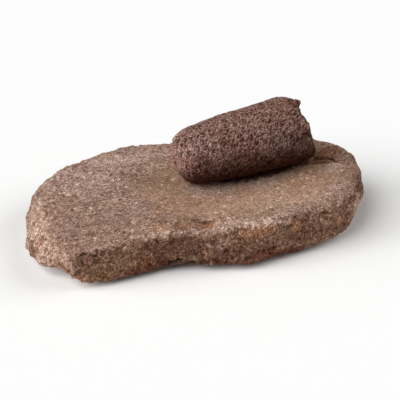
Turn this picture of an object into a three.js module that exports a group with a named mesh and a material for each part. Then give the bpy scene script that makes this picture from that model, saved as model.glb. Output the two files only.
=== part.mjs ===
// A grinding stone with a broken pestle lying on it. The stone is a natural slab, thicker at its narrow
// end, with a shallow dish worn into its top face. The pestle is a pecked bar, round at one end and snapped
// off at the other. Millimetres, +Z up. +X runs along the slab to its narrow end, and the origin is on the
// ground under the middle of the pair.

import * as THREE from "three";
import { mergeVertices } from "three/addons/utils/BufferGeometryUtils.js";

// Slab: landmarks of the rim, the edge of its top face, anticlockwise from the tip of the narrow end.
// Each is its place in plan, how far the foot of the side stands out past it, and how high the foot is.
const RIM = [
  [197, -12, -17, 14],
  [202, 14, -20, 14],
  [195, 34, -18, 14],
  [180, 52, -14, 13],
  [163, 68, -9, 12],
  [110, 86, 0, 10],
  [40, 99, 2, 8],
  [-48, 119, 4, 8],
  [-112, 102, 6, 8],
  [-149, 78, 7, 10],
  [-178, 50, 7, 12],
  [-182, 14, 10, 9],
  [-182, -28, 15, 10],
  [-181, -62, 6, 11],
  [-173, -82, -3, 12],
  [-160, -98, -2, 9],
  [-142, -99, 2, 6],
  [-105, -96, 7, 5],
  [-62, -91, 5, 6],
  [-36, -92, 3, 9],
  [-4, -103, 7, 4],
  [48, -108, 5, 6],
  [76, -100, 6, 5],
  [125, -92, 5, 6],
  [161, -75, 1, 9],
  [184, -46, -6, 14],
];
const TOP_HEIGHT = 52; // top face at mid length
const TOP_RISE = 8; // how far the top face climbs from mid length to the narrow end
const HOLLOWS = [
  { x: 55, y: -8, length: 280, width: 180, heading: 0, depth: 8 }, // the dish worn by grinding
  { x: -18, y: -94, length: 76, width: 46, heading: -25, depth: 7 }, // flake off the front edge
  { x: -134, y: 74, length: 60, width: 36, heading: -45, depth: 2 }, // scar at the back of the broad end
  { x: -52, y: 46, length: 64, width: 34, heading: 20, depth: 2 }, // faint hollow behind the middle
];
const SHOULDER = { narrowEnd: 18, back: 8, broadEnd: 15, front: 6 }; // width of the rounding at the rim
const RIM_DROP = { narrowEnd: 12, back: 3, broadEnd: 9, front: 4 }; // how far the rim lies below the top
const BULGE = { narrowEnd: 9, back: 5, broadEnd: -1, front: 1 }; // how far the side swells below the rim
const FOOT_ROUND = 5; // width of the rounding between the side and the underside
const UNDER_INSET = 36; // width of the underside's sloping border
const UNDER_DROP = 0.4; // height of that border's inner edge, as a share of the foot's
const BEARING_SHARE = 0.6; // reach of the flat bearing patch, as a share of what that border leaves
const TOP_LUMPS = [
  { size: 46, depth: 0.9 },
  { size: 20, depth: 0.4 },
];
const SIDE_LUMPS = [
  { size: 42, depth: 3.2 },
  { size: 19, depth: 1.6 },
];

// Pestle: measured along its axis from the tip of the round end
const PESTLE_LENGTH = 162;
const DOME_LENGTH = 24;
const DOME_RADIUS = 33.5; // where the round end meets the bar
const BREAK_RADIUS = 40; // at the break
const BREAK_SLANT = 12.5; // how much further the break runs at the bottom than at the top
const BREAK_LIP = { reach: 4, height: 7 }; // spur along the break's top edge
const BREAK_ROUND = 5; // rounding of the break's edge
const BREAK_CHIP = { length: 14, depth: 4 }; // chip off the top of the bar at the break
const BREAK_LUMPS = [
  { size: 24, depth: 3 },
  { size: 10, depth: 1.2 },
];
const PESTLE_LUMPS = [
  { size: 34, depth: 1.2 },
  { size: 14, depth: 0.6 },
];
const PESTLE_TIP = [-21, 12]; // plan position of the round end's tip
const PESTLE_HEADING = 2.5; // degrees from the slab's length towards its back
const REST_GAP = 0.4; // least clearance between the two stones
const REST_STEPS = 30; // rounds of settling the pestle onto the slab

// Triangles: each stone is a grid of rings from pole to pole, with this many segments round each ring
const SLAB_SEGMENTS = 130;
const SLAB_RINGS = { top: 12, side: 10, under: 6 };
const PESTLE_SEGMENTS = 44;
const PESTLE_RINGS = { dome: 7, bar: 20, break: 6 };

const lerp = THREE.MathUtils.lerp;
const smoothstep = THREE.MathUtils.smoothstep;

// A fixed random value from -1 to 1 for each point of an integer lattice
function latticeValue(i, j, k) {
  const s = Math.sin(i * 127.1 + j * 311.7 + k * 74.7) * 43758.5453;
  return 2 * (s - Math.floor(s)) - 1;
}

// Smooth noise from -1 to 1 whose bumps are about `size` apart
function noise(x, y, z, size) {
  const cell = [x, y, z].map((v) => Math.floor(v / size));
  const [u, v, w] = [x, y, z].map((value, axis) => smoothstep(value / size - cell[axis], 0, 1));
  const corner = (i, j, k) => latticeValue(cell[0] + i, cell[1] + j, cell[2] + k);
  const edge = (j, k) => lerp(corner(0, j, k), corner(1, j, k), u);
  const face = (k) => lerp(edge(0, k), edge(1, k), v);
  return lerp(face(0), face(1), w);
}

function lumps(octaves, x, y, z) {
  return octaves.reduce((sum, { size, depth }) => sum + depth * noise(x, y, z, size), 0);
}

// Blends the four sides' values for the way that the rim faces in plan
function around(values, facing) {
  const toEnd = facing.x > 0 ? values.narrowEnd : values.broadEnd;
  const toSide = facing.y > 0 ? values.back : values.front;
  return toEnd * facing.x ** 2 + toSide * facing.y ** 2;
}

// Wraps a sphere's rings round a stone. The stone's faces follow each other from pole to pole: each has its
// number of rings, and gives its point at a share of the way across it and a share of a turn round it.
function wrapStone(segments, faces) {
  const rings = [];
  for (const { count, point } of faces) {
    for (let ring = rings.length ? 1 : 0; ring <= count; ring++) {
      rings.push((turn) => point(ring / count, turn));
    }
  }
  const sphere = new THREE.SphereGeometry(1, segments, rings.length - 1);
  const position = sphere.getAttribute("position");
  const uv = sphere.getAttribute("uv");
  for (let i = 0; i < position.count; i++) {
    const ring = Math.round((1 - uv.getY(i)) * (rings.length - 1));
    const point = rings[ring]((uv.getX(i) + 1) % 1);
    position.setXYZ(i, point.x, point.y, point.z);
  }
  sphere.deleteAttribute("normal");
  sphere.deleteAttribute("uv");
  const geometry = mergeVertices(sphere, 1e-3);
  geometry.computeVertexNormals();
  return geometry;
}

// Slab

const rimCurve = new THREE.CatmullRomCurve3(
  RIM.map(([x, y]) => new THREE.Vector3(x, y, 0)),
  true,
);
const footCurve = new THREE.CatmullRomCurve3(
  RIM.map(([x, y, out, height]) => {
    const length = Math.hypot(x, y) + out;
    return new THREE.Vector3(x, y, 0).setLength(length).setZ(height);
  }),
  true,
);

// The way that the rim faces in plan, at a share of a turn round it
function rimFacing(turn) {
  const along = rimCurve.getTangent(turn);
  return new THREE.Vector3(along.y, -along.x, 0);
}

// Height of the top face
function topHeight(x, y) {
  let height = TOP_HEIGHT + (TOP_RISE * x) / RIM[0][0] + lumps(TOP_LUMPS, x, y, 0);
  for (const hollow of HOLLOWS) {
    const offset = new THREE.Vector2(x - hollow.x, y - hollow.y);
    offset.rotateAround(new THREE.Vector2(), -THREE.MathUtils.degToRad(hollow.heading));
    const reach = Math.hypot(offset.x / (hollow.length / 2), offset.y / (hollow.width / 2));
    height -= hollow.depth * (1 - smoothstep(reach, 0, 1));
  }
  return height;
}

function topPoint(share, turn) {
  const rim = rimCurve.getPoint(turn);
  const outward = rim.clone().normalize();
  const shoulder = around(SHOULDER, rimFacing(turn));
  const point = outward.multiplyScalar(share * (rim.length() - shoulder));
  return point.setZ(topHeight(point.x, point.y));
}

function sidePoint(share, turn) {
  const rim = rimCurve.getPoint(turn);
  const foot = footCurve.getPoint(turn);
  const outward = rim.clone().normalize();
  const facing = rimFacing(turn);
  const inner = rim.clone().addScaledVector(outward, -around(SHOULDER, facing));
  inner.z = topHeight(inner.x, inner.y);
  rim.z = inner.z - around(RIM_DROP, facing);
  const profile = new THREE.CatmullRomCurve3([
    inner,
    inner.clone().lerp(rim, 0.7).setZ(lerp(inner.z, rim.z, 0.4)),
    rim,
    rim.clone().lerp(foot, 0.5).addScaledVector(outward, around(BULGE, facing)),
    foot.clone().setZ(foot.z + FOOT_ROUND),
    foot.clone().addScaledVector(outward, -FOOT_ROUND),
    foot.clone().addScaledVector(outward, -UNDER_INSET).setZ(UNDER_DROP * foot.z),
  ]);
  const point = profile.getPoint(share);
  const rough = Math.sin(Math.PI * share) * lumps(SIDE_LUMPS, point.x, point.y, point.z);
  return point.addScaledVector(outward, rough);
}

function underPoint(share, turn) {
  const foot = footCurve.getPoint(turn);
  const height = UNDER_DROP * foot.z * smoothstep(1 - share, BEARING_SHARE, 1);
  const point = foot.setZ(0).setLength((1 - share) * (foot.length() - UNDER_INSET));
  return point.setZ(height);
}

// Pestle: its axis runs down from the tip of the round end at the origin. It is laid along +X afterwards,
// which brings its own +X to the top.

// A point of the pestle's skin that is so far from its axis, and so far along it
function skinPoint(radius, along, turn) {
  const angle = 2 * Math.PI * turn;
  const point = new THREE.Vector3(radius * Math.cos(angle), radius * Math.sin(angle), 0);
  const rough = lumps(PESTLE_LUMPS, point.x, point.y, along) / BREAK_RADIUS;
  return point.multiplyScalar(1 + rough).setZ(-along);
}

// How far along the break lies at a height above the axis
function breakAlong(height) {
  const lip = BREAK_LIP.reach * smoothstep(height, BREAK_RADIUS - BREAK_LIP.height, BREAK_RADIUS);
  return PESTLE_LENGTH - (BREAK_SLANT * (1 + height / BREAK_RADIUS)) / 2 + lip;
}

function domePoint(share, turn) {
  const tilt = (Math.PI / 2) * share;
  return skinPoint(DOME_RADIUS * Math.sin(tilt), DOME_LENGTH * (1 - Math.cos(tilt)), turn);
}

function barPoint(share, turn) {
  const upward = Math.cos(2 * Math.PI * turn);
  const end = breakAlong(upward * BREAK_RADIUS);
  const along = lerp(DOME_LENGTH, end, share);
  const radius = lerp(BREAK_RADIUS, DOME_RADIUS, (1 - share) ** 2);
  const round = 0.5 * BREAK_ROUND * smoothstep(along, end - 2 * BREAK_ROUND, end);
  const chipped = Math.max(upward, 0) ** 4 * smoothstep(along, end - BREAK_CHIP.length, end);
  const chip = BREAK_CHIP.depth * chipped;
  return skinPoint(radius - round - chip, along, turn);
}

function breakPoint(share, turn) {
  const edge = barPoint(1, turn);
  const point = edge.multiplyScalar(1 - share);
  const rough = lumps(BREAK_LUMPS, point.x, point.y, 0) * (1 - (1 - share) ** 6);
  return point.setZ(-breakAlong(point.x) - rough);
}

// Smallest gap between the slab's top face and the pestle's vertices from `start` to `end` along its axis
function gapToSlab(pestle, start, end) {
  pestle.updateMatrixWorld(true);
  const position = pestle.geometry.getAttribute("position");
  const point = new THREE.Vector3();
  let gap = Infinity;
  for (let i = 0; i < position.count; i++) {
    point.fromBufferAttribute(position, i);
    if (point.x < start || point.x > end) continue;
    point.applyMatrix4(pestle.matrixWorld);
    gap = Math.min(gap, point.z - topHeight(point.x, point.y));
  }
  return gap;
}

// Lowers the pestle onto the slab and rocks it until both its halves all but touch
function restOnSlab(pestle) {
  const middle = PESTLE_LENGTH / 2;
  for (let step = 0; step < REST_STEPS; step++) {
    const roundGap = gapToSlab(pestle, 0, middle);
    const breakGap = gapToSlab(pestle, middle, PESTLE_LENGTH);
    pestle.rotation.y += (breakGap - roundGap) / PESTLE_LENGTH;
    pestle.position.z += REST_GAP - gapToSlab(pestle, 0, PESTLE_LENGTH);
  }
}

const slab = new THREE.Mesh(
  wrapStone(SLAB_SEGMENTS, [
    { count: SLAB_RINGS.top, point: topPoint },
    { count: SLAB_RINGS.side, point: sidePoint },
    { count: SLAB_RINGS.under, point: underPoint },
  ]),
  new THREE.MeshStandardMaterial({ color: 0x8f7768, roughness: 0.9, metalness: 0 }),
);
slab.name = "grinding_stone";

const pestle = new THREE.Mesh(
  wrapStone(PESTLE_SEGMENTS, [
    { count: PESTLE_RINGS.dome, point: domePoint },
    { count: PESTLE_RINGS.bar, point: barPoint },
    { count: PESTLE_RINGS.break, point: breakPoint },
  ]).rotateY(-Math.PI / 2),
  new THREE.MeshStandardMaterial({ color: 0x5c4740, roughness: 0.9, metalness: 0 }),
);
pestle.name = "pestle";
pestle.rotation.order = "ZYX";
pestle.rotation.z = THREE.MathUtils.degToRad(PESTLE_HEADING);
pestle.position.set(...PESTLE_TIP, TOP_HEIGHT + BREAK_RADIUS);
restOnSlab(pestle);

const stones = new THREE.Group();
stones.add(slab, pestle);

// The origin goes to the ground under the middle of the pair
const box = new THREE.Box3().setFromObject(stones);
const centre = box.getCenter(new THREE.Vector3());
stones.position.set(-centre.x, -centre.y, -box.min.z);

export default stones;
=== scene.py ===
"""A natural slab with a dish worn into it by grinding, and a broken stone pestle lying on it.

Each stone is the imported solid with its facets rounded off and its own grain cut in: the slab's worn dish,
gritty top and broken sides, and the pestle's pecked bar and rough break. Lengths are in millimetres until a
mesh takes them. A slope is the upward part of the skin's normal, from -1 underneath to 1 on top.
"""

import math

import bmesh
import bpy
import numpy as np
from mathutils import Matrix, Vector, noise


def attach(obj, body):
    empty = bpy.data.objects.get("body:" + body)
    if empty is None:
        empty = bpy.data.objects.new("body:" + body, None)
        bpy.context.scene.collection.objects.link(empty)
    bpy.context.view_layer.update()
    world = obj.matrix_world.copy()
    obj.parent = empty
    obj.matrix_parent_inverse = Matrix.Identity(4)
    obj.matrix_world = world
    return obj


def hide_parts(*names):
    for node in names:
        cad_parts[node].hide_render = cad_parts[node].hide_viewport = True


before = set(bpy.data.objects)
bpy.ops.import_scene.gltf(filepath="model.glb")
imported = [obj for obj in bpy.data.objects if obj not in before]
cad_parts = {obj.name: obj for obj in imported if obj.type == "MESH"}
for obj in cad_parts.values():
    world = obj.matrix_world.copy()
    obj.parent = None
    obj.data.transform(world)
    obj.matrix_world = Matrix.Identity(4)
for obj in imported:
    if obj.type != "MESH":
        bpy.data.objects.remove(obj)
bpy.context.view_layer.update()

MM = 0.001

# Camera, as the photograph was taken
CAMERA_AZIMUTH = -16
CAMERA_ELEVATION = 30
CAMERA_DISTANCE = 1244
CAMERA_TARGET = Vector((-3, -31.7, 45))
CAMERA_LENS = 100
CAMERA_SENSOR = 36

# Light: a high and a low one from the left, a weaker one from the right, and a white sweep low all round
LIGHTS = {
    "left": {"azimuth": -76, "elevation": 45, "angle": 60, "strength": 2.85},
    "low": {"azimuth": -98, "elevation": 13, "angle": 50, "strength": 2.2},
    "right": {"azimuth": 80, "elevation": 30, "angle": 50, "strength": 1.6},
}
ROOM_LIGHT = 0.04
SWEEP_LIGHT = 0.95
SWEEP_TOP = 0.06  # sine of the elevation where the sweep ends
SWEEP_FADE = 0.6  # share of that height where it begins to fade
FLOOR_SIZE = 60000
FLOOR_COLOUR = (0.89, 0.89, 0.885, 1)
FLOOR_ROUGHNESS = 0.9

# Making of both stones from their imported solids
WELD_M = 1e-6
FACET_ANGLE = 60  # triangles that meet flatter than this are joined
FACET_SHAPE_ANGLE = 80
ROUNDING_LEVELS = 2
NOISE_FALL = 1.0  # how fast the noise weakens from each octave to the next,
NOISE_STEP = 2.0  # and how much finer that is
PORE_WALL = 0.4  # rise of the noise from the edge of a pore to its floor
KNOB_RAGGEDNESS = {"height": 0.25, "size": 5, "octaves": 2}
KNOB_POINT = 1.5  # how pointed a knob is: 1 makes a cone
SPOT_RAGGEDNESS = {"height": 0.55, "size": 14, "octaves": 4}
SPOT_EDGE = (0.4, 1.1)  # shares of a spot's reach over which it fades out

# Slab: where it is side, underside and worn dish
SLAB_VOXEL = 1.25
SLAB_LEFT = 0.65  # share of its faces left once its underside is thinned out
UNDERSIDE_SLOPE = -0.7  # the skin is underside below this slope
SIDE_SLOPE = (0.4, 0.85)  # slopes, up or down, over which a side turns into the top or the underside
RIM_ROUNDS = 14  # rounds of averaging that spread the rim over about 6 mm
DISH = {"x": 53, "y": -13.7, "length": 280, "width": 180}
DISH_EDGE = (0.7, 1.05)  # shares of the dish's reach over which its wear fades out
DISH_SLOPE = (0.8, 0.95)  # slopes over which it sets in
DISH_RAGGEDNESS = {"height": 0.12, "size": 60}

# Slab: relief, with lumps by height and holes by depth. Holes are rarer where their level is higher
SIDE_LUMPS = {"height": 1.6, "size": 22}
SIDE_HOLES = {"depth": 1.9, "size": 13, "level": 0.1}
TOP_LUMPS = {"height": 0.4, "size": 18}
RIM_CHIPS = {"depth": 2.8, "size": 17, "level": 0, "seed": 30}
SMALL_RIM_CHIPS = {"depth": 1.8, "size": 8, "level": 0.05, "seed": 60}
RIM_SWELLING = 0.9
GRIT_SIZE = 4
GRIT_HEIGHT = {"top": 0.45, "dish": 0.25}
PORES = {"size": 4, "level": 0.15, "seed": 50}
PORE_DEPTH = {"top": 0.5, "dish": 0.3, "side": 0.6}
STROKES = {"height": 0.15, "size": 5}
STROKE_WAY = (1, 0, 0)
STROKE_LENGTH = 10  # how much longer than wide a stroke of the grinding is
CRUMBS = {"height": 0.6, "size": 3}
SIDE_PITS = {"depth": 0.4, "size": 8, "level": 0.2}

# Slab: cracks and hollows that stand out
GROOVES = [  # places along a groove, its half width, depth and the darkness of its painted shade, which above 1 spreads up its walls
    ([(148, 7, 57), (155, 2, 58), (164, -2, 58), (169, -11, 59)], 3.2, 3.5, 0.8),  # crack beside the break
    ([(141, -3, 56), (152, -7, 57), (163, -11, 58)], 2.2, 1.5, 0.8),  # finer crack along it
    ([(-23, -79, 50), (-16, -83, 50), (-8, -88, 50)], 3, 1.5, 0.7),  # line behind the front flake
    ([(-54, -99, 12), (-49, -99, 13.5), (-45, -100, 15)], 3.6, 15, 2.5),  # slit under the front edge
    ([(-38, -99, 9), (-31, -102, 10), (-24, -107, 10)], 3, 3, 2),  # crack beside the slit
    ([(30, -116, 20), (62, -115, 22)], 2.5, 1.2, 0.8),  # bedding line low on the front
]
GROOVE_FLOOR = 0.1  # share of its half width that is floor
GROOVE_RAGGEDNESS = {"height": 0.4, "size": 6, "octaves": 2}
CONTACT_SHADOW = [(38, 3, 46), (70, -2, 48), (105, 1, 51), (136, 5, 55)]  # painted shadow along the pestle where it lies
CONTACT_SHADOW_WIDTH = 12
CONTACT_SHADOW_DARKNESS = 0.95
SCARP = [  # back of the flake off the front edge, from the left to the right
    (-48, -82), (-43, -79), (-35, -76), (-27, -77), (-19, -81), (-13, -85), (-7, -91), (-3, -97), (0, -105),
]
SCARP_DROP = 2.6
SCARP_STEP = (-0.6, 0.8)  # distances past the scarp over which it drops,
SCARP_FADE = (5, 16)  # and over which the flake rises to the skin again
SCARP_SLOPE = (0.6, 0.8)  # slopes over which it sets in, from the front to the top
SCARP_WANDER = {"height": 2.0, "size": 9, "octaves": 2}
HOLLOWS = [  # middle, radius and depth of the larger hollows of the sides. A depth below 0 makes a lump
    ((-161, -97, 44), 6, 3.5),  # front of the broad end
    ((-151, -105, 41), 6, 3.5),
    ((-146, -103, 44), 5, 3),
    ((-137, -104, 37), 7, 4),
    ((-128, -103, 39), 6, 3.5),
    ((-183, -72, 29), 5, 3),
    ((-3, -116, 5), 34, 6),  # foot of the front, under the lip
    ((-38, -100, 8), 18, -4),  # foot of the front, beside the slit
    ((-176, 38, 38), 34, -2),  # back of the broad end
    ((-138, 78, 38), 34, -4),
    ((-198, -36, 17), 17, -7),  # foot of the broad end
    ((-174, -84, 10), 26, 4),
    ((186, -24, 50), 16, -4),  # tip of the narrow end
    ((184, -50, 36), 9, -3),
    ((189, -12, 50), 5, 3),
]

# Slab: patches of other colour, each by its middle, its reach along each axis, and its strength. Some pale
# ones are painted light and some dark ones painted shade, as marked
PALE_AND_LIT_SPOTS = [
    ((-187, -12, 28), (16, 58, 26), 0.75),  # painted light on the lit slope of the broad end
    ((-182, -66, 28), (14, 34, 20), 0.8),  # painted light on its corner
    ((-166, -99, 34), (8, 8, 14), 0.6),
    ((-131, -101, 45), (14, 6, 5), 0.6),
    ((-115, 48, 48), (70, 40, 9), 0.5),  # back of the broad end
    ((-132, 70, 45), (20, 9, 8), 0.7),  # scar on it
    ((-80, 76, 49), (60, 22, 9), 0.7),  # back edge
    ((-38, 84, 51), (22, 18, 8), 0.4),
    ((20, -101, 52), (22, 9, 8), 0.8),  # worn lip of the dish
    ((48, -108, 52), (40, 8, 7), 0.6),
    ((-8, -83, 51), (9, 3, 4), 0.9),  # painted highlight on the crest behind the front flake
    ((-70, -94, 46), (28, 5, 5), 0.8),  # painted highlight on the front edge beside the flake
    ((-42, -94, 45), (12, 5, 5), 0.6),
    ((45, -18, 47), (85, 14, 8), 0.6),  # painted light on the floor of the dish along the pestle, lifting its shadow
    ((10, -10, 45), (28, 12, 8), 0.7),
    ((104, -67, 54), (60, 24, 9), 0.3),  # paler dish nearer the front edge
    ((166, -70, 36), (22, 26, 10), 0.8),  # wall of the narrow end
    ((163, -24, 58), (20, 13, 8), 0.8),  # top above it
    ((126, -92, 51), (16, 9, 8), 0.7),
    ((-2, -113, 33), (8, 6, 8), 0.5),  # spot on the front
]
RUST_SPOTS = [
    ((-37, -84, 48), (16, 8, 6), 0.9),  # face of the front flake
    ((-10, -91, 48), (11, 6, 6), 1),
    ((-52, -80, 50), (28, 14, 8), 0.45),
    ((-172, -86, 16), (24, 24, 8), 0.5),  # foot of the broad end
    ((-139, -107, 13), (30, 12, 8), 0.6),
    ((-90, -103, 16), (34, 10, 7), 0.6),
    ((62, -114, 15), (34, 12, 9), 0.8),  # front of the narrow end, at its foot and higher up
    ((86, -107, 39), (9, 9, 8), 0.8),
    ((141, -96, 31), (9, 9, 6), 0.8),
    ((38, -114, 46), (26, 8, 8), 0.9),  # under the lip
    ((166, 16, 59), (22, 16, 8), 0.8),  # back of the narrow end
    ((154, 2, 57), (24, 16, 8), 0.9),  # beside the pestle's break
]
DARK_AND_SHADE_SPOTS = [
    ((-76, -100, 30), (40, 9, 18), 0.4),  # painted shade on the front, left of the slit
    ((-60, -104, 4), (70, 16, 22), 1),  # painted shade at the foot of the front
    ((40, -112, 4), (90, 16, 22), 1),
    ((-32, -101, 28), (34, 12, 18), 0.7),  # painted shade on the front, right of the slit
    ((6, -114, 22), (46, 10, 16), 0.65),  # painted shade on the front, under the lip
    ((100, -106, 27), (40, 14, 14), 0.4),  # painted shade on the front of the narrow end
    ((-118, -106, 10), (34, 10, 8), 0.2),  # painted shade at the foot of the broad end's front
    ((182, 8, 56), (18, 30, 12), 0.5),  # back of the narrow end
    ((176, -52, 48), (14, 34, 12), 0.55),  # its end wall
    ((158, 7, 58), (26, 22, 9), 0.55),  # the pestle's painted shadow beside its break
    ((-69, 39, 48), (22, 18, 8), 0.45),  # painted shade in a faint hollow behind the middle
    ((-158, -62, 45), (30, 22, 8), 0.2),  # top of the broad end, towards the front
    ((-90, -50, 46), (90, 36, 8), 0.2),
    ((-50, -68, 49), (34, 16, 8), 0.3),  # top behind the front flake
    ((-14, -84, 50), (28, 12, 7), 0.3),
]
SPOTS = {"pale": PALE_AND_LIT_SPOTS, "rust": RUST_SPOTS, "dark": DARK_AND_SHADE_SPOTS}

# Pestle: the tip of its round end, and the way its bar points
PESTLE_VOXEL = 0.8
PESTLE_TIP = np.array((-23.0, 6.3, 77.6))
PESTLE_AXIS = np.array((0.991, 0.043, 0.126))
BREAK_START = (120, 140)  # distances along the bar over which the break sets in
BREAK_SLOPE = (0.35, 0.7)  # how far the skin of the break looks along the bar
# Pestle: painted shade, most underneath and on its break
SHADE_ALONG = (0, 25, 80, 150)  # places along the bar,
SHADE_LEVEL = (-0.15, 0.95, 1.05, 1.4)  # and the slope at each from which it is free of painted shade
SHADE_FULL = -0.8  # slope at which its painted shade is full all along
BREAK_SHADE = 0.7

# Pestle: relief
BAR_LUMPS = {"height": 0.7, "size": 14}
BREAK_LUMPS = {"height": 1.6, "size": 12}
PECK_WAY = (0.45, 0.15, 0.88)  # the way the pecked marks are drawn out, on a slant over the bar
PECK_LENGTH = 2.4  # how much longer than wide a mark is
PECK_SIZE = 3
PECK_HEIGHT = 0.85
BAR_GRIT = {"height": 0.35, "size": 2.5, "octaves": 2}
BAR_HOLES = {"depth": 0.35, "size": 4.2, "level": 0.25, "seed": 20}
BREAK_GRIT = {"height": 0.8, "size": 4}
BREAK_HOLES = {"depth": 0.8, "size": 6, "level": 0.15, "seed": 20}
PESTLE_LUMPS = [  # middle, radius and height of its larger lumps. A height below 0 makes a notch
    ((122, 9, 131), 5, 4.5),  # spur at the break's top edge
    ((124, 8, 129), 7, 3.5),
    ((115, 8, 133), 5, -2),  # notch behind the spur
    ((124, -20, 114), 15, 4),  # swelling at the break's front edge
    ((128, -25, 102), 6, -2),  # notch under that
    ((134, -23, 87), 14, 2),  # swelling low on the break's front
    ((114, 10, 134), 12, 2),  # crown beside the spur
    ((45, 12, 117), 26, 2),  # back of the bar
    ((-19, 11, 100), 18, 3),  # round end
    ((-8, -12, 52), 14, -1.5),  # hollow under that
]

# Colours: tints multiply a colour, and a row of stops gives the tint for each reading of a pattern
PLAIN = (1, 1, 1)
SPECULAR = 0.1
BUMP_HEIGHT = 1.5
PATCH_STOPS = (0.35, 0.65)  # readings at which patches have their first and their second colour
FLECK_EDGE = (0.15, 0.4)  # reach of a fleck in its cell, where it begins to fade and where it ends
FLECK_CHOICE = 0.9  # part of the share of cells with flecks that has them in full
SLAB_ROUGHNESS = 0.9
SLAB_GRIT = {"size": 1.7, "detail": 3, "roughness": 0.75}
SLAB_PATCHES = {"size": 45, "detail": 3}
SIDE_PATCHES = {"size": 22, "detail": 4}
SLAB_HUES = {"size": 28, "detail": 3}
SLAB_MOTTLE = {"size": 10, "detail": 3, "roughness": 0.7}
SLAB_FLAKES = {"size": 5, "detail": 2}
SLAB_PITS = {"size": 2.4, "detail": 2}
SLAB_FLECKS = {"size": 4.5, "share": 0.14}
TOP_COLOURS = ((0.29, 0.18, 0.132), (0.345, 0.225, 0.17))
DISH_COLOURS = ((0.328, 0.199, 0.134), (0.39, 0.248, 0.171))
# browner colours of the sides, darker than the top partly as painted shade
SIDE_COLOURS_WITH_SHADE = ((0.185, 0.101, 0.064), (0.25, 0.143, 0.094))
RUST_COLOUR = (0.31, 0.152, 0.084, 1)
# colour of the pale spots: paler stone, and painted light where marked
PALE_AND_LIT_COLOUR = (0.45, 0.31, 0.243, 1)
# tint of the dark spots: darker tone, and painted shade where marked
DARK_AND_SHADE_TINT = (0.47, 0.365, 0.335, 1)
FLECK_TINT = (0.5, 0.43, 0.38, 1)
# painted shade in the grooves and under the pestle
CREVICE_SHADE_TINT = (0.16, 0.115, 0.1, 1)
HUE_TINTS = [(0.38, (0.99, 1, 1.02)), (0.62, (1.05, 0.995, 0.95))]
MOTTLE_TINTS = [(0.3, (0.82, 0.77, 0.73)), (0.5, PLAIN), (0.7, (1.12, 1.14, 1.15))]
FLAKE_TINTS = [(0.6, PLAIN), (0.7, (1.7, 1.95, 2.1))]
COARSE_TINTS = [(0.34, (0.22, 0.165, 0.14)), (0.5, PLAIN), (0.66, (1.9, 2.07, 2.2))]
RUBBED_TINTS = [(0.34, (0.4, 0.33, 0.3)), (0.5, PLAIN), (0.66, (1.55, 1.64, 1.7))]
# painted shade in the hollows of the relief and painted highlight on its high points
SLAB_RELIEF_SHADE_TINTS = [(0, (0.58, 0.48, 0.42)), (0.5, PLAIN), (1, (1.25, 1.33, 1.4))]
PIT_TINTS = [(0.38, (0.68, 0.58, 0.52)), (0.5, (1.04, 1.04, 1.04))]
PESTLE_ROUGHNESS = 0.85
PESTLE_GRIT = {"size": 1.4, "detail": 3, "roughness": 0.8}
PESTLE_PATCHES = {"size": 30, "detail": 3}
PESTLE_FLECKS = {"size": 3.5, "share": 0.1}
PESTLE_COLOURS = ((0.147, 0.067, 0.047), (0.184, 0.104, 0.084))
# painted shade underneath the pestle and on its break
PESTLE_SHADE_TINT = (0.22, 0.11, 0.064, 1)
PALE_FLECK_TINT = (1.7, 1.8, 1.9, 1)
PESTLE_GRIT_TINTS = [(0.36, (0.12, 0.085, 0.072)), (0.5, PLAIN), (0.64, (2.5, 2.8, 2.95))]
# painted shade in the hollows of the relief and painted highlight on its ridges
PESTLE_RELIEF_SHADE_TINTS = [(0, (0.33, 0.25, 0.21)), (0.5, PLAIN), (1, (2.3, 2.6, 2.8))]


# Fields: numbers worked out for rows of places

def smoothstep(low, high, values):
    """0 below low, 1 above high, and a smooth step between."""
    t = np.clip((values - low) / (high - low), 0, 1)
    return t * t * (3 - 2 * t)


def blend(first, second, share):
    """A share of the way from the first to the second."""
    return first + (second - first) * share


def rough(places, size, octaves=3):
    """Rough noise about 0, its largest lumps of that size."""
    levels = [noise.fractal(Vector(place), NOISE_FALL, NOISE_STEP, octaves) for place in places / size]
    return np.array(levels)


def pores(places, size, level, seed=0):
    """How deep in a pore each place lies, 0 to 1, with uneven pores where rough noise passes the level."""
    return smoothstep(level, level + PORE_WALL, rough(places + seed, size, octaves=2))


def lumps(places, height, size, octaves=3):
    """Rough lumps of that height and size."""
    return height * rough(places, size, octaves)


def holes(places, depth, size, level, seed=0):
    """Uneven holes of that depth and size."""
    return depth * pores(places, size, level, seed)


def drawn_out(places, along, factor):
    """The places squeezed along a direction, so that noise there is drawn out by that factor."""
    direction = np.array(along) / np.linalg.norm(along)
    return places - np.outer(places @ direction, direction) * (1 - 1 / factor)


def line_distance(places, points):
    """How far each place is from a line through the points."""
    nearest = np.full(len(places), np.inf)
    for start, end in zip(np.array(points[:-1], float), np.array(points[1:], float)):
        along = np.clip((places - start) @ (end - start) / np.sum((end - start) ** 2), 0, 1)
        gap = np.linalg.norm(places - start - np.outer(along, end - start), axis=1)
        nearest = np.minimum(nearest, gap)
    return nearest


def knob(places, middle, radius, height):
    """A ragged, pointed lump of that height."""
    reach = np.linalg.norm(places - middle, axis=1) / radius + lumps(places, **KNOB_RAGGEDNESS)
    return height * np.clip(1 - reach, 0, 1) ** KNOB_POINT


def spotted(places, spots):
    """How strongly each place is marked, 0 to 1: most in the middle of a spot and ragged at its edge."""
    ragged = lumps(places, **SPOT_RAGGEDNESS)
    marked = np.zeros(len(places))
    for middle, reach, strength in spots:
        out = np.linalg.norm((places - middle) / reach, axis=1)
        marked = np.maximum(marked, strength * (1 - smoothstep(*SPOT_EDGE, out + ragged)))
    return marked


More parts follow.
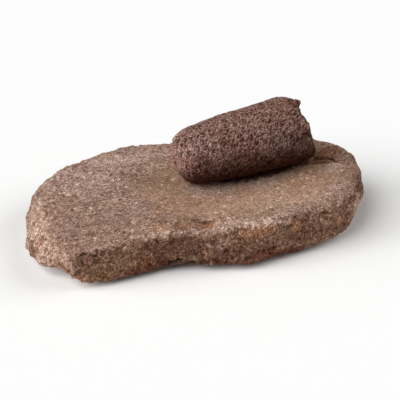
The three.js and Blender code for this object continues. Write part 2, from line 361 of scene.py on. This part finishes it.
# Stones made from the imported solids

def fine_copy(node, name, voxel):
    """A new piece with the node's form, its facets rounded off and its skin in small even faces."""
    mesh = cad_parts[node].data.copy()
    form = bmesh.new()
    form.from_mesh(mesh)
    bmesh.ops.remove_doubles(form, verts=form.verts, dist=WELD_M)
    bmesh.ops.join_triangles(
        form,
        faces=form.faces,
        angle_face_threshold=math.radians(FACET_ANGLE),
        angle_shape_threshold=math.radians(FACET_SHAPE_ANGLE),
    )
    form.to_mesh(mesh)
    form.free()
    source = bpy.data.objects.new(name + "_source", mesh)
    bpy.context.scene.collection.objects.link(source)
    rounding = source.modifiers.new("rounding", "SUBSURF")
    rounding.levels = ROUNDING_LEVELS
    evening = source.modifiers.new("evening", "REMESH")
    evening.mode = "VOXEL"
    evening.voxel_size = voxel * MM
    evaluated = source.evaluated_get(bpy.context.evaluated_depsgraph_get())
    piece = bpy.data.objects.new(name, bpy.data.meshes.new_from_object(evaluated))
    bpy.context.scene.collection.objects.link(piece)
    bpy.data.objects.remove(source)
    piece.data.materials.clear()
    return piece


def skin(piece):
    """The places of the piece's vertices, in millimetres, and their normals."""
    count = len(piece.data.vertices)
    places = np.zeros(3 * count)
    normals = np.zeros(3 * count)
    piece.data.vertices.foreach_get("co", places)
    piece.data.vertices.foreach_get("normal", normals)
    return places.reshape(-1, 3) / MM, normals.reshape(-1, 3)


def carve(piece, moves):
    """Moves each vertex along its normal, and no lower than the ground."""
    places, normals = skin(piece)
    places += normals * moves[:, None]
    places[:, 2] = np.maximum(places[:, 2], 0)
    piece.data.vertices.foreach_set("co", places.ravel() * MM)
    piece.data.update()


def spread(piece, values, rounds):
    """The values averaged with their neighbours' along the mesh's edges, that many times over."""
    ends = np.zeros(2 * len(piece.data.edges), np.int32)
    piece.data.edges.foreach_get("vertices", ends)
    first, second = ends.reshape(-1, 2).T
    count = len(values)
    neighbours = np.bincount(ends, minlength=count)
    for _ in range(rounds):
        total = np.bincount(first, values[second], count) + np.bincount(second, values[first], count)
        values = (values + total) / (1 + neighbours)
    return values


def thin_underside(piece, share):
    """Takes faces away on the piece's underside until that share of all its faces is left."""
    under = piece.vertex_groups.new(name="under")
    under.add(np.flatnonzero(skin(piece)[1][:, 2] < UNDERSIDE_SLOPE).tolist(), 1, "ADD")
    thinning = piece.modifiers.new("thinning", "DECIMATE")
    thinning.vertex_group = under.name
    thinning.ratio = share
    full = piece.data
    evaluated = piece.evaluated_get(bpy.context.evaluated_depsgraph_get())
    piece.data = bpy.data.meshes.new_from_object(evaluated)
    piece.modifiers.clear()
    piece.vertex_groups.clear()
    bpy.data.meshes.remove(full)


def measure(piece, name, values):
    """Keeps one number for each vertex, for the materials to read."""
    attribute = piece.data.attributes.new(name, "FLOAT", "POINT")
    attribute.data.foreach_set("value", values.astype(np.float32))


def evened(moves):
    """The moves scaled to lie about 0.5, most of them between 0 and 1."""
    return np.clip(0.5 + (moves - np.mean(moves)) / (4 * np.std(moves)), 0, 1)


def dress(piece, node, material):
    """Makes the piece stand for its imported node."""
    piece.data.materials.append(material)
    piece.data.shade_smooth()
    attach(piece, "root")
    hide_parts(node)


# Slab

def wear(places, normals):
    """How far the slab is worn smooth by grinding, 0 to 1."""
    offset = (places - (DISH["x"], DISH["y"], 0)) / (DISH["length"] / 2, DISH["width"] / 2, 1)
    reach = np.hypot(offset[:, 0], offset[:, 1]) + lumps(places, **DISH_RAGGEDNESS)
    return (1 - smoothstep(*DISH_EDGE, reach)) * smoothstep(*DISH_SLOPE, normals[:, 2])


def sideness(normals):
    """1 on the slab's broken sides, 0 on its top and underside."""
    return 1 - smoothstep(*SIDE_SLOPE, np.abs(normals[:, 2]))


def slab_lumps(places, normals, side):
    """The larger relief: spalled sides, a faintly uneven top, a chipped rim, and the cracks and hollows."""
    rim = 4 * side * (1 - side)
    broken = lumps(places, **SIDE_LUMPS) - holes(places, **SIDE_HOLES)
    top = lumps(places, **TOP_LUMPS)
    chips = holes(places, **RIM_CHIPS) + holes(places, **SMALL_RIM_CHIPS)
    moves = blend(top, broken, side) - chips * rim + RIM_SWELLING * rim
    for points, width, depth, _ in GROOVES:
        moves -= depth * grooved(places, points, width)
    for middle, radius, depth in HOLLOWS:
        moves -= knob(places, middle, radius, depth)
    return moves + scarp(places, normals)


def grooved(places, points, width):
    """How deep each place lies in a ragged groove along the points, 0 to 1."""
    out = line_distance(places, points) / width + lumps(places, **GROOVE_RAGGEDNESS)
    return 1 - smoothstep(GROOVE_FLOOR, 1, out)


def painted_crevice_shade(places):
    """How much painted shade each place gets for lying in one of the grooves or in the painted shadow under
    the pestle, 0 to 1.
    """
    dark = CONTACT_SHADOW_DARKNESS * grooved(places, CONTACT_SHADOW, CONTACT_SHADOW_WIDTH)
    for points, width, _, darkness in GROOVES:
        dark = np.maximum(dark, darkness * grooved(places, points, width))
    return np.minimum(dark, 1)


def scarp(places, normals):
    """The step at the back of the flake off the front edge, which fades out towards the edge."""
    line = np.array(SCARP, float)
    x, y = places[:, 0], places[:, 1]
    past = np.interp(x, line[:, 0], line[:, 1]) + lumps(places, **SCARP_WANDER) - y
    ends = smoothstep(line[0, 0], line[1, 0], x) * (1 - smoothstep(line[-2, 0], line[-1, 0], x))
    step = smoothstep(*SCARP_STEP, past) * (1 - smoothstep(*SCARP_FADE, past))
    return -SCARP_DROP * step * ends * smoothstep(*SCARP_SLOPE, normals[:, 2])


def slab_grain(places, normals, side):
    """The finer relief: pores and grit, smoother in the dish, with strokes along it."""
    grit = rough(places, GRIT_SIZE)
    fine_pores = pores(places, **PORES)
    broken = lumps(places, **CRUMBS) - holes(places, **SIDE_PITS) - PORE_DEPTH["side"] * fine_pores
    gritty = GRIT_HEIGHT["top"] * grit - PORE_DEPTH["top"] * fine_pores
    strokes = lumps(drawn_out(places, STROKE_WAY, STROKE_LENGTH), **STROKES)
    smooth = strokes + GRIT_HEIGHT["dish"] * grit - PORE_DEPTH["dish"] * fine_pores
    return blend(blend(gritty, smooth, wear(places, normals)), broken, side)


# Pestle

def brokenness(places, normals):
    """1 on the rough break at the bar's end."""
    along = (places - PESTLE_TIP) @ PESTLE_AXIS
    return smoothstep(*BREAK_SLOPE, normals @ PESTLE_AXIS) * smoothstep(*BREAK_START, along)


def pestle_painted_shade(places, normals):
    """How much painted shade the pestle gets, 0 to 1: most underneath and on its break, least on its round
    end.
    """
    along = (places - PESTLE_TIP) @ PESTLE_AXIS
    shade_free_slope = np.interp(along, SHADE_ALONG, SHADE_LEVEL)
    under = 1 - smoothstep(SHADE_FULL, shade_free_slope, normals[:, 2])
    return np.maximum(under, BREAK_SHADE * brokenness(places, normals))


def pestle_lumps(places, normals):
    """The larger relief: a wavy, hand-shaped bar, and a lumpy break with its spur."""
    moves = blend(lumps(places, **BAR_LUMPS), lumps(places, **BREAK_LUMPS), brokenness(places, normals))
    for middle, radius, height in PESTLE_LUMPS:
        moves += knob(places, middle, radius, height)
    return moves


def pestle_grain(places, normals):
    """The finer relief: thin ridges between pecked marks all over the bar, and grit on the break."""
    marks = drawn_out(places, PECK_WAY, PECK_LENGTH)
    ridges = 0.5 - 2 * np.abs(rough(marks, PECK_SIZE, octaves=2))
    pecked = PECK_HEIGHT * ridges + lumps(places, **BAR_GRIT) - holes(marks, **BAR_HOLES)
    crumbled = lumps(places, **BREAK_GRIT) - holes(places, **BREAK_HOLES)
    return blend(pecked, crumbled, brokenness(places, normals))


# Materials

def grey(level):
    """A plain grey of that level."""
    return (level, level, level, 1)


class Shader:
    """A material, and its nodes added one by one."""

    def __init__(self, name):
        self.material = bpy.data.materials.new(name)
        self.material.use_nodes = True
        self.nodes = self.material.node_tree.nodes
        self.links = self.material.node_tree.links
        self.surface = self.nodes["Principled BSDF"]
        self.place = self.nodes.new("ShaderNodeTexCoord").outputs["Object"]

    def feed(self, socket, value):
        """Links an output to the socket, or sets a plain value on it."""
        if isinstance(value, bpy.types.NodeSocket):
            self.links.new(value, socket)
        else:
            socket.default_value = value

    def coat(self, colour, roughness):
        """Gives the surface its colour and a dull finish."""
        self.feed(self.surface.inputs["Base Color"], colour)
        self.feed(self.surface.inputs["Roughness"], roughness)
        self.feed(self.surface.inputs["Specular IOR Level"], SPECULAR)

    def noise(self, size, detail, roughness=0.6):
        """Smooth noise from 0 to 1, its largest lumps of that size."""
        node = self.nodes.new("ShaderNodeTexNoise")
        node.inputs["Scale"].default_value = 1 / (size * MM)
        node.inputs["Detail"].default_value = detail
        node.inputs["Roughness"].default_value = roughness
        self.links.new(self.place, node.inputs["Vector"])
        return node.outputs["Fac"]

    def flecks(self, size, share):
        """A mask of round flecks, in that share of the cells of that size."""
        node = self.nodes.new("ShaderNodeTexVoronoi")
        node.inputs["Scale"].default_value = 1 / (size * MM)
        self.links.new(self.place, node.inputs["Vector"])
        split = self.nodes.new("ShaderNodeSeparateColor")
        self.links.new(node.outputs["Color"], split.inputs[0])
        chosen = self.ramp(split.outputs[0], [(share * FLECK_CHOICE, grey(1)), (share, grey(0))])
        middle, edge = FLECK_EDGE
        return self.times(chosen, self.ramp(node.outputs["Distance"], [(middle, grey(1)), (edge, grey(0))]))

    def measured(self, name):
        """A number kept on the mesh."""
        node = self.nodes.new("ShaderNodeAttribute")
        node.attribute_name = name
        return node.outputs["Fac"]

    def ramp(self, value, stops):
        """A colour read off a row of (position, colour) stops."""
        node = self.nodes.new("ShaderNodeValToRGB")
        while len(node.color_ramp.elements) < len(stops):
            node.color_ramp.elements.new(0.5)
        for element, (position, colour) in zip(node.color_ramp.elements, stops):
            element.position = position
            element.color = (*colour[:3], 1)
        self.feed(node.inputs["Fac"], value)
        return node.outputs["Color"]

    def patchy(self, value, colours):
        """Patches of two colours that run into each other."""
        return self.ramp(value, list(zip(PATCH_STOPS, colours)))

    def mix(self, share, first, second, kind="MIX"):
        """The first colour with a share of the second laid over it."""
        node = self.nodes.new("ShaderNodeMixRGB")
        node.blend_type = kind
        self.feed(node.inputs["Fac"], share)
        self.feed(node.inputs["Color1"], first)
        self.feed(node.inputs["Color2"], second)
        return node.outputs["Color"]

    def times(self, colour, tint):
        """The colour made lighter or darker by a tint."""
        return self.mix(1, colour, tint, "MULTIPLY")

    def tinted(self, share, colour, tint):
        """The colour with a share of the tint."""
        return self.mix(share, colour, self.times(colour, tint))

    def bump(self, height, distance):
        """Finer grain than the mesh holds."""
        node = self.nodes.new("ShaderNodeBump")
        node.inputs["Distance"].default_value = distance * MM
        self.links.new(height, node.inputs["Height"])
        self.links.new(node.outputs["Normal"], self.surface.inputs["Normal"])


def slab_stone():
    """Gritty light brown stone: paler where worn, browner on its broken sides and darker there partly as
    painted shade, with painted shade in its pores, grooves and hollows, painted highlight on its high points,
    and painted light and shade in some spots.
    """
    stone = Shader("slab_stone")
    grit = stone.noise(**SLAB_GRIT)
    patches = stone.noise(**SLAB_PATCHES)
    worn = stone.measured("worn")
    side = stone.measured("side")
    colour = stone.mix(worn, stone.patchy(patches, TOP_COLOURS), stone.patchy(patches, DISH_COLOURS))
    # browner sides, darker partly as painted shade
    colour = stone.mix(side, colour, stone.patchy(stone.noise(**SIDE_PATCHES), SIDE_COLOURS_WITH_SHADE))
    colour = stone.mix(stone.measured("rust"), colour, RUST_COLOUR)
    # dark spots: darker tone, and painted shade where marked
    colour = stone.tinted(stone.measured("dark"), colour, DARK_AND_SHADE_TINT)
    # pale spots: paler stone, and painted light where marked
    colour = stone.mix(stone.measured("pale"), colour, PALE_AND_LIT_COLOUR)
    hues = stone.ramp(stone.noise(**SLAB_HUES), HUE_TINTS)
    mottle = stone.ramp(stone.noise(**SLAB_MOTTLE), MOTTLE_TINTS)
    flakes = stone.ramp(stone.noise(**SLAB_FLAKES), FLAKE_TINTS)
    grains = stone.mix(worn, stone.ramp(grit, COARSE_TINTS), stone.ramp(grit, RUBBED_TINTS))
    # painted shade in the hollows of the relief and painted highlight on its high points
    relief = stone.ramp(stone.measured("relief"), SLAB_RELIEF_SHADE_TINTS)
    for tint in (hues, mottle, flakes, grains, relief):
        colour = stone.times(colour, tint)
    colour = stone.tinted(side, colour, stone.ramp(stone.noise(**SLAB_PITS), PIT_TINTS))
    colour = stone.tinted(stone.flecks(**SLAB_FLECKS), colour, FLECK_TINT)
    # painted shade in the grooves and under the pestle
    colour = stone.tinted(stone.measured("painted_crevice_shade"), colour, CREVICE_SHADE_TINT)
    stone.coat(colour, SLAB_ROUGHNESS)
    stone.bump(grit, BUMP_HEIGHT)
    return stone.material


def pestle_stone():
    """Dark purple-brown stone, with painted highlight on the ridges between its pecked marks, and painted
    shade in the marks, underneath and on its break.
    """
    stone = Shader("pestle_stone")
    grit = stone.noise(**PESTLE_GRIT)
    colour = stone.patchy(stone.noise(**PESTLE_PATCHES), PESTLE_COLOURS)
    # painted shade underneath the pestle and on its break
    colour = stone.tinted(stone.measured("under"), colour, PESTLE_SHADE_TINT)
    colour = stone.times(colour, stone.ramp(grit, PESTLE_GRIT_TINTS))
    # painted shade in the hollows of the relief and painted highlight on its ridges
    colour = stone.times(colour, stone.ramp(stone.measured("relief"), PESTLE_RELIEF_SHADE_TINTS))
    colour = stone.tinted(stone.flecks(**PESTLE_FLECKS), colour, PALE_FLECK_TINT)
    stone.coat(colour, PESTLE_ROUGHNESS)
    stone.bump(grit, BUMP_HEIGHT)
    return stone.material


# Both stones

slab = fine_copy("grinding_stone", "grinding_stone_worn", SLAB_VOXEL)
thin_underside(slab, SLAB_LEFT)
slab_side = spread(slab, sideness(skin(slab)[1]), RIM_ROUNDS)
# painted shade for the grooves and the shadow under the pestle, worked out before carving
slab_crevice_shade = painted_crevice_shade(skin(slab)[0])
carve(slab, slab_lumps(*skin(slab), slab_side))
slab_places, slab_normals = skin(slab)
slab_relief = slab_grain(slab_places, slab_normals, slab_side)
carve(slab, slab_relief)
# the relief, also read for painted shade in its hollows and painted highlight on its high points
measure(slab, "relief", evened(slab_relief))
measure(slab, "worn", wear(slab_places, slab_normals))
measure(slab, "side", slab_side)
measure(slab, "painted_crevice_shade", slab_crevice_shade)
for spot_name, spots in SPOTS.items():
    measure(slab, spot_name, spotted(slab_places, spots))
dress(slab, "grinding_stone", slab_stone())

pestle = fine_copy("pestle", "pestle_pecked", PESTLE_VOXEL)
carve(pestle, pestle_lumps(*skin(pestle)))
pestle_places, pestle_normals = skin(pestle)
pestle_relief = pestle_grain(pestle_places, pestle_normals)
carve(pestle, pestle_relief)
# the relief, also read for painted shade in its hollows and painted highlight on its ridges
measure(pestle, "relief", evened(pestle_relief))
# painted shade underneath the pestle and on its break
measure(pestle, "under", pestle_painted_shade(pestle_places, pestle_normals))
dress(pestle, "pestle", pestle_stone())


# Floor, light and camera

def direction(azimuth, elevation):
    """A unit vector by its azimuth, from the front round to the right, and its elevation, in degrees."""
    a = math.radians(azimuth)
    e = math.radians(elevation)
    return Vector((math.sin(a) * math.cos(e), -math.cos(a) * math.cos(e), math.sin(e)))


def add_floor():
    """A wide white floor."""
    form = bmesh.new()
    bmesh.ops.create_grid(form, x_segments=1, y_segments=1, size=FLOOR_SIZE * MM / 2)
    mesh = bpy.data.meshes.new("floor")
    form.to_mesh(mesh)
    form.free()
    floor = bpy.data.objects.new("floor", mesh)
    bpy.context.scene.collection.objects.link(floor)
    paint = Shader("floor_paint")
    paint.coat(FLOOR_COLOUR, FLOOR_ROUGHNESS)
    mesh.materials.append(paint.material)


def add_light(name, azimuth, elevation, angle, strength):
    """A far, soft light."""
    sun = bpy.data.lights.new(name, "SUN")
    sun.energy = strength
    sun.angle = math.radians(angle)
    lamp = bpy.data.objects.new(name, sun)
    lamp.rotation_euler = direction(azimuth, elevation).to_track_quat("Z", "Y").to_euler()
    bpy.context.scene.collection.objects.link(lamp)


def add_room():
    """A dim room, with a white sweep low down all round."""
    world = bpy.data.worlds.new("room")
    world.use_nodes = True
    nodes = world.node_tree.nodes
    links = world.node_tree.links
    place = nodes.new("ShaderNodeTexCoord")
    split = nodes.new("ShaderNodeSeparateXYZ")
    ramp = nodes.new("ShaderNodeValToRGB")
    links.new(place.outputs["Generated"], split.inputs["Vector"])
    links.new(split.outputs["Z"], ramp.inputs["Fac"])
    ramp.color_ramp.elements[0].position = SWEEP_TOP * SWEEP_FADE
    ramp.color_ramp.elements[0].color = grey(SWEEP_LIGHT)
    ramp.color_ramp.elements[1].position = SWEEP_TOP
    ramp.color_ramp.elements[1].color = grey(ROOM_LIGHT)
    links.new(ramp.outputs["Color"], nodes["Background"].inputs["Color"])
    bpy.context.scene.world = world


def add_camera():
    """The camera at the photograph's viewing angle."""
    lens = bpy.data.cameras.new("camera")
    lens.lens = CAMERA_LENS
    lens.sensor_width = CAMERA_SENSOR
    camera = bpy.data.objects.new("camera", lens)
    back = direction(CAMERA_AZIMUTH, CAMERA_ELEVATION)
    camera.location = (CAMERA_TARGET + back * CAMERA_DISTANCE) * MM
    camera.rotation_euler = back.to_track_quat("Z", "Y").to_euler()
    bpy.context.scene.collection.objects.link(camera)
    bpy.context.scene.camera = camera


add_floor()
for light, setting in LIGHTS.items():
    add_light(light, **setting)
add_room()
add_camera()
bpy.context.scene.view_settings.view_transform = "Standard"
